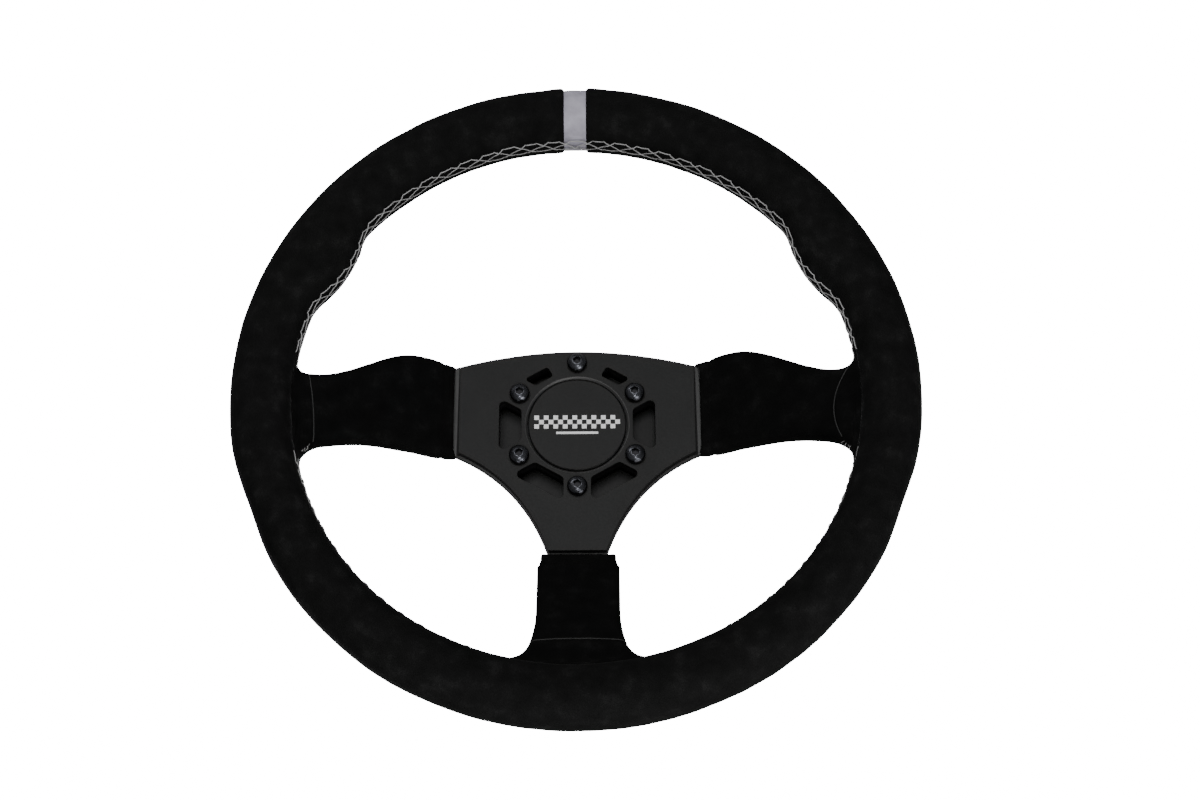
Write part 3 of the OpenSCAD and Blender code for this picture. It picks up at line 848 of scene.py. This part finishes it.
SIDE_EDGES = (side_low, side_high)
BOTTOM_EDGES = (lambda distance: -bottom_edge(distance), bottom_edge)
SPOKES = [
    Spoke("right", 0, corner=72, start=65.0, edges=SIDE_EDGES, fillets=(18, 10), ears=(1.0, 2.4),
          seam=(134.0, 5.0, -8, 20), lift=0.5, edge_r=4.2),
    Spoke("left", 180, corner=72, start=65.0, edges=SIDE_EDGES, fillets=(18, 7), ears=(1.1, 0.4),
          seam=(135.5, 3.5, -25, 41), lift=-0.4, mirrored=True),
    Spoke("bottom", -90, corner=80, start=71.9, edges=BOTTOM_EDGES, fillets=(16, 16), ears=(0.6, 0.6),
          seam=(130.0, 0.6, 0, 21), lift=0.5, edge_r=3.0),
]


def sleeve_stations(spoke):
    """Distances of the sleeve's rings, closer together at the hub's hem, at the seam and in the fillets."""
    return np.concatenate([
        spoke.start + 3.2 * (1 - np.cos(np.linspace(0, math.pi / 2, 9)))[:-1],
        np.linspace(spoke.start + 3.2, 126, 70)[:-1],
        np.linspace(126, 147, 64)[:-1],
        np.linspace(147, spoke.END, 10),
    ])


def make_sleeve(spoke):
    """A suede sleeve over a foam pad, from a folded hem at the hub into the rim."""
    hem_roll, hem_stitch = 1.6, 6.2
    rings = []
    for distance in sleeve_stations(spoke):
        across, offset = spoke.ring(distance)
        middle, half = spoke.middle(distance)
        from_hub = distance - spoke.start
        rounding = math.sqrt(max(1 - (1 - min(from_hub / hem_roll, 1)) ** 2, 0))
        fold = 0.45 * float(bump(from_hub - hem_stitch, 0.9))
        groove = 0.45 * bump(distance - spoke.seam_at(across), 0.8) * (distance < 144)
        offset = offset * (0.8 + 0.2 * rounding) - np.sign(offset) * (groove + fold)
        across = middle + (across - middle) * (1 - (0.6 * (1 - rounding) + fold) / half)
        corner = smooth((np.abs(across - middle) - half + 3.5) / 3) * (1 - smooth(from_hub / 6))
        ear = np.where(across > middle, spoke.ears[1], spoke.ears[0]) * corner
        ring = spoke.place(distance, across, offset)
        toward = spoke.place(distance - 1, across, offset) - ring
        rings.append(ring + toward * ear[:, None])
    rings = np.array(rings)
    points = rings.reshape(-1, 3)
    lumps = 0.2 * unevenness(points, 22, 3) + 0.08 * unevenness(points, 7, 4)
    rings = rings + (lumps[:, None] * np.array([0, 0.4, 1.0])).reshape(rings.shape)
    sleeve = loft("spoke_suede_" + spoke.name, rings)
    sleeve.data.materials.append(SPOKE_SUEDE)
    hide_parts("spoke_wrap_" + spoke.name)


def on_sleeve(spoke, distance, across, side, proud):
    """A point on the sleeve's skin, proud of it."""
    height = spoke.height(distance, across, side)
    return spoke.place(distance, np.array(across), np.array(height + side * proud))


def make_spoke_seams(spoke):
    """The thread of the seam between the sleeve and the rim, and the row of stitches up the sleeve's back."""
    low, high = (edge(spoke.seam_at(edge(spoke.seam[0]))) + spoke.lift for edge in spoke.edges)
    seam = [on_sleeve(spoke, spoke.seam_at(across), across, 1, -0.12)
            for across in np.linspace(low + 0.7, high - 0.7, 40)]
    thread = tubes("spoke_seam_" + spoke.name, [seam], 0.3, 6)
    thread.data.materials.append(DARK_THREAD)
    paths = []
    for distance in np.arange(spoke.start + 5, 138, 5.5):
        middle = float(spoke.middle(distance)[0])
        for side in (-1, 1):
            ends = (-1.7 * side, 1.7 * side)
            path = []
            for share in np.linspace(0, 1, 7):
                across = middle + ends[0] + (ends[1] - ends[0]) * share
                proud = 0.5 - 0.9 * abs(2 * share - 1) ** 4
                path.append(on_sleeve(spoke, distance + 3.6 * share, across, -1, proud))
            paths.append(path)
    back = tubes("back_stitches_" + spoke.name, paths, 0.38, 6)
    back.data.materials.append(THREAD)


def make_loose_threads():
    """Short frayed ends of thread at the lower corner of each side spoke's seam."""
    rng = np.random.default_rng(11)
    paths = []
    for spoke in SPOKES[:2]:
        for index in range(4):
            across = -24.5 - 1.3 * index
            start = on_sleeve(spoke, 137.0 + 0.9 * index, across, 1, 0.0)
            lean = np.array(rng.uniform(-1, 1, 3)) * (1.6, 1.6, 0.5)
            lean[1] -= 1.0
            bend = np.array(rng.uniform(-0.5, 0.5, 3))
            paths.append([start + lean * t + bend * math.sin(3 * t) for t in np.linspace(0, 1.2, 8)])
    ends = tubes("loose_threads", paths, 0.2, 5)
    ends.data.materials.append(THREAD)


# ---------- metal ----------

# width of the rounding on each hard part's sharp edges
EDGES = {
    "faceplate": 0.35,
    "centre_cap": 0.2,
    "hub_screws": 0.15,
    "spoke_plate": 0.4,
    "hub_flange": 0.3,
    "lock_barrel": 0.2,
    "release_collar": 0.25,
    "nose_ring": 0.3,
    "spline_insert": 0.1,
    "socket_cap": 0.2,
    "barrel_screws": 0.1,
}


def bevelled(node, width, body):
    """A copy of a CAD node with its sharp edges rounded, standing for the node."""
    mesh = bmesh.new()
    mesh.from_mesh(frame["nodes"][node].data)
    bmesh.ops.remove_doubles(mesh, verts=mesh.verts, dist=2e-6)
    bmesh.ops.dissolve_limit(mesh, angle_limit=math.radians(0.5), verts=mesh.verts, edges=mesh.edges)
    sharp = [edge for edge in mesh.edges if edge.is_manifold and edge.calc_face_angle() > math.radians(30)]
    bmesh.ops.bevel(mesh, geom=sharp, offset=width * MM, segments=2, profile=0.5, affect="EDGES",
                    clamp_overlap=True)
    for face in mesh.faces:
        face.smooth = True
    for edge in mesh.edges:
        edge.smooth = not (edge.is_manifold and edge.calc_face_angle() > math.radians(28))
    made = bpy.data.meshes.new(node + "_finished")
    mesh.to_mesh(made)
    mesh.free()
    copy = add_object(node + "_finished", made, body)
    shading = copy.modifiers.new("flat faces stay flat", "WEIGHTED_NORMAL")
    shading.keep_sharp = True
    shading.weight = 100
    return copy


def finish_nodes():
    """Rounds the edges of the hard parts that show, and gives every CAD node the finish of its slot."""
    for node, part in frame["nodes"].items():
        slot = part.material_slots[0].material.name
        part.material_slots[0].material = FINISHES[slot]
        if node in EDGES:
            made = bevelled(node, EDGES[node], body_of(part)[0])
            made.data.materials.clear()
            made.data.materials.append(FINISHES[slot])
            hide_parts(node)


def slab(points, faces, x, y, width, length, rise):
    """Adds a thin box lying on the cap to lists of points and faces."""
    base = len(points)
    for z in (CAP_TOP - rise, CAP_TOP + rise):
        points += [(x, y, z), (x + width, y, z), (x + width, y + length, z), (x, y + length, z)]
    faces += [(base + 3, base + 2, base + 1, base), (base + 4, base + 5, base + 6, base + 7)]
    for k in range(4):
        m = (k + 1) % 4
        faces.append((base + k, base + m, base + 4 + m, base + 4 + k))


def make_cap_mark():
    """A plain chequered strip on the cap, with a thin bar under it."""
    size, rise, columns, rows = 2.5, 0.04, 18, 3
    strip_low = -2.3
    bar_low, bar_length, bar_height = -5.4, 22, 1.3
    points, faces = [], []
    for row in range(rows):
        for column in range(columns):
            if (row + column) % 2:
                continue
            slab(points, faces, (column - columns / 2) * size, row * size + strip_low, size, size, rise)
    slab(points, faces, -bar_length / 2, bar_low, bar_length, bar_height, rise)
    mark = add_object("cap_mark", mesh_from("cap_mark", points, faces))
    for face in mark.data.polygons:
        face.use_smooth = False
    finish = Finish("mark_paint")
    fleck = finish.noise(1.2, 3)
    finish.feed("Base Color", finish.shades(fleck, (0.3, grey(0.72)), (0.7, grey(0.82))))
    finish.feed("Roughness", finish.between(fleck, 0.35, 0.5))
    mark.data.materials.append(finish.material)


def make_spring():
    """The collar's coil spring, built at rest; on the real wheel it squashes as the collar is pulled."""
    low, high = extent("collar_spring", 2)
    wire, mean, turns = 0.75, 21.6, 4
    path = []
    for turn in np.linspace(0, turns, turns * 48 + 1):
        rise = float(smooth((turn - 0.4) / (turns - 0.8)))
        angle = 2 * math.pi * turn
        height = low + wire + (high - low - 2 * wire) * rise
        path.append((mean * math.cos(angle), mean * math.sin(angle), height))
    spring = tubes("coil_spring", [path], wire, 12)
    spring.data.materials.append(FINISHES["bright_steel"])
    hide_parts("collar_spring")
    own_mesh(spring)


# ---------- camera, light and floor ----------

def make_camera():
    """The camera above the wheel's lower edge, on the photograph's line of sight."""
    tilt, roll = math.radians(23.57), math.radians(-0.37)
    distance, aside, along = 1109.0, 12.1, -3.9
    back = Vector((0, -math.sin(tilt), math.cos(tilt)))
    up = Vector((0, math.cos(tilt), math.sin(tilt)))
    right = Vector((1, 0, 0))
    level = right * math.cos(roll) + up * math.sin(roll)
    upright = up * math.cos(roll) - right * math.sin(roll)
    place = level * aside + upright * along + back * distance + Vector((0, 0, RIM_Z))
    data = bpy.data.cameras.new("camera")
    data.sensor_width = 36.0
    data.lens = 65.58
    data.clip_start, data.clip_end = 0.01, 20
    camera = bpy.data.objects.new("camera", data)
    bpy.context.scene.collection.objects.link(camera)
    turn = Matrix((level, upright, back)).transposed().to_4x4()
    camera.matrix_world = Matrix.Translation(place * MM) @ turn
    bpy.context.scene.camera = camera


# the point that every light faces, then the lights: name, place and size in metres, and power in watts
LIT_POINT = (0, 0, 0.08)
LIGHTS = [
    ("overhead", (-0.15, 0.35, 1.9), (1.3, 1.0), 22),
    ("low_front", (0.8, -1.5, 0.7), (0.8, 0.5), 15),
    ("spot", (0.12, -1.15, 1.3), (0.28, 0.2), 5.5),
    ("low_back", (-1.2, 1.3, 0.6), (1.2, 0.6), 10),
    ("floor_bounce", (0.25, -0.9, 0.05), (1.2, 0.4), 8),
]


def make_light(name, place, size, power):
    """A rectangular light that faces the middle of the wheel."""
    data = bpy.data.lights.new(name, "AREA")
    data.shape = "RECTANGLE"
    data.size, data.size_y = size
    data.energy = power
    light = bpy.data.objects.new(name, data)
    bpy.context.scene.collection.objects.link(light)
    light.location = place
    light.rotation_euler = (Vector(LIT_POINT) - Vector(place)).to_track_quat("-Z", "Y").to_euler()


def make_floor():
    """A pale, glowing floor, kept out of reflections and bounced light so that it doesn't grey the suede."""
    around = 48
    turns = np.linspace(0, 2 * math.pi, around, endpoint=False)
    points = [(0, 0, 0)]
    for radius in (400, 1500, 6000):
        points += [(radius * math.cos(turn), radius * math.sin(turn), 0) for turn in turns]
    faces = [(0, 1 + k, 1 + (k + 1) % around) for k in range(around)]
    for inner in (1, 1 + around):
        outer = inner + around
        for k in range(around):
            m = (k + 1) % around
            faces.append((inner + k, outer + k, outer + m, inner + m))
    mesh = bpy.data.meshes.new("floor")
    mesh.from_pydata((np.array(points) * MM).tolist(), [], faces)
    floor = bpy.data.objects.new("floor", mesh)
    bpy.context.scene.collection.objects.link(floor)
    finish = Finish("floor", Roughness=0.9)
    finish.shader.inputs["Base Color"].default_value = (0.93, 0.93, 0.93, 1)
    finish.shader.inputs["Specular IOR Level"].default_value = 0.1
    finish.shader.inputs["Emission Color"].default_value = (1, 1, 1, 1)
    finish.shader.inputs["Emission Strength"].default_value = 17.0
    mesh.materials.append(finish.material)
    floor.visible_diffuse = False
    floor.visible_glossy = False


def make_world():
    world = bpy.data.worlds.new("world")
    world.use_nodes = True
    world.node_tree.nodes["Background"].inputs["Color"].default_value = (1, 1, 1, 1)
    world.node_tree.nodes["Background"].inputs["Strength"].default_value = 0.22
    bpy.context.scene.world = world


make_rim_suede()
make_rim_foam()
make_stripe_band()
make_stitching()
for spoke in SPOKES:
    make_sleeve(spoke)
    make_spoke_seams(spoke)
make_loose_threads()
finish_nodes()
make_cap_mark()
make_spring()
make_floor()
make_world()
make_camera()
for name, place, size, power in LIGHTS:
    make_light(name, place, size, power)
